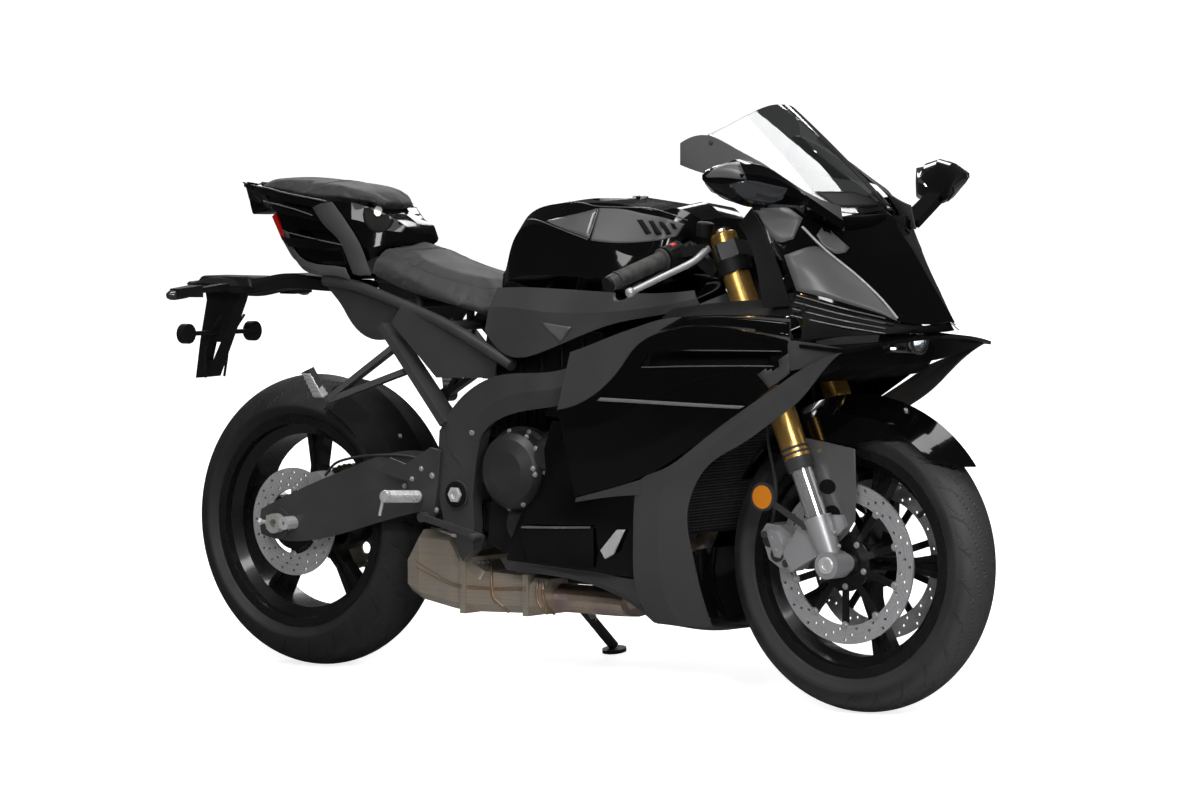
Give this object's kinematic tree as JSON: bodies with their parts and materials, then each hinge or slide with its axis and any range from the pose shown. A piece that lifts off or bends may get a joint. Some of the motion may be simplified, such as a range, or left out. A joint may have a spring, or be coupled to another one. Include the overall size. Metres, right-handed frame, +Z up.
{
  "type": "sport motorcycle",
  "caption": "Fully faired sport motorcycle with clip-on bars, upside-down fork, aluminium frame, chain drive and under-engine exhaust, parked leaning on its side stand.",
  "frame": {"origin": "centre of the bounding box in plan, on the ground the parked motorcycle stands on", "axes": "+X forward along the motorcycle, +Y to its left, +Z up; it leans 9 degrees to its left on the side stand"},
  "size_m": [2.0709, 0.7945, 1.194],
  "materials": {
    "frame_black": "satin paint",
    "engine_black": "satin paint",
    "rim_black": "gloss paint",
    "gloss_black": "gloss",
    "matte_black": "matte",
    "seat_cover": "grained",
    "steel": "brushed",
    "chain_steel": "oiled",
    "disc_steel": "ground",
    "cast_grey": "cast",
    "gold": "anodised",
    "fork_chrome": "polished",
    "tyre": "rubber",
    "clear_screen": "clear",
    "clear_lens": "clear",
    "red_lens": "clear red",
    "amber_lens": "clear amber"
  },
  "bodies": {
    "frame": {"main_frame": "frame_black", "subframe": "frame_black", "swingarm": "frame_black", "rear_axle": "steel", "paddock_bosses": "steel", "drive_chain": "chain_steel", "rear_hugger": "matte_black", "rear_shock": "frame_black", "engine_block": "engine_black", "engine_covers": "engine_black", "radiator": "engine_black", "exhaust_headers": "steel", "silencer": "steel", "fuel_tank": "gloss_black", "tank_side_covers": "matte_black", "rider_seat": "seat_cover", "passenger_seat": "seat_cover", "tail_cowl": "gloss_black", "tail_light": "red_lens", "plate_holder": "matte_black", "fairing_bands": "matte_black", "side_fairings": "gloss_black", "lower_fairings": "matte_black", "belly_pan": "matte_black", "upper_cowl": "gloss_black", "cheek_flanges": "matte_black", "headlamps": "clear_lens", "windscreen": "clear_screen", "screen_garnish": "matte_black", "fairing_stay": "frame_black", "fairing_brackets": "frame_black", "cockpit_panel": "matte_black", "mirrors": "gloss_black", "winglets": "matte_black", "footrests": "cast_grey", "passenger_footrests": "cast_grey", "rear_caliper": "cast_grey"},
    "steering": {"yokes": "cast_grey", "fork_outer_tubes": "gold", "fork_inner_tubes": "fork_chrome", "fork_feet": "cast_grey", "front_axle": "steel", "front_calipers": "cast_grey", "front_fender": "matte_black", "handlebars": "matte_black", "hand_controls": "matte_black", "side_reflectors": "amber_lens"},
    "front_wheel": {"front_rim": "rim_black", "front_tyre": "tyre", "front_discs": "disc_steel"},
    "rear_wheel": {"rear_rim": "rim_black", "rear_tyre": "tyre", "rear_disc": "disc_steel", "rear_sprocket": "disc_steel"},
    "side_stand": {"side_stand": "frame_black"},
    "fuel_cap": {"fuel_cap": "matte_black"}
  },
  "joints": [
    {"name": "rear_wheel_spin", "type": "hinge", "parent": "frame", "child": "rear_wheel", "pos_m": [-0.6845, -0.11733, 0.31227], "axis": [0, 0.9877, -0.1564], "continuous": true},
    {"name": "steering_turn", "type": "hinge", "parent": "frame", "child": "steering", "pos_m": [0.52116, -0.05112, 0.73025], "axis": [-0.3854, 0.1443, 0.9114], "range_deg": [-27, 27]},
    {"name": "front_wheel_spin", "type": "hinge", "parent": "steering", "child": "front_wheel", "pos_m": [0.7355, -0.11967, 0.29745], "axis": [0, 0.9877, -0.1564], "continuous": true},
    {"name": "side_stand_swing", "type": "hinge", "parent": "frame", "child": "side_stand", "pos_m": [-0.1365, -0.00701, 0.19051], "axis": [0.2607, 0.7961, 0.5461], "range_deg": [0, 104]},
    {"name": "fuel_cap_open", "type": "hinge", "parent": "frame", "child": "fuel_cap", "pos_m": [0.1875, -0.00751, 1.00562], "axis": [0, 0.9877, -0.1564], "range_deg": [0, 95]}
  ]
}
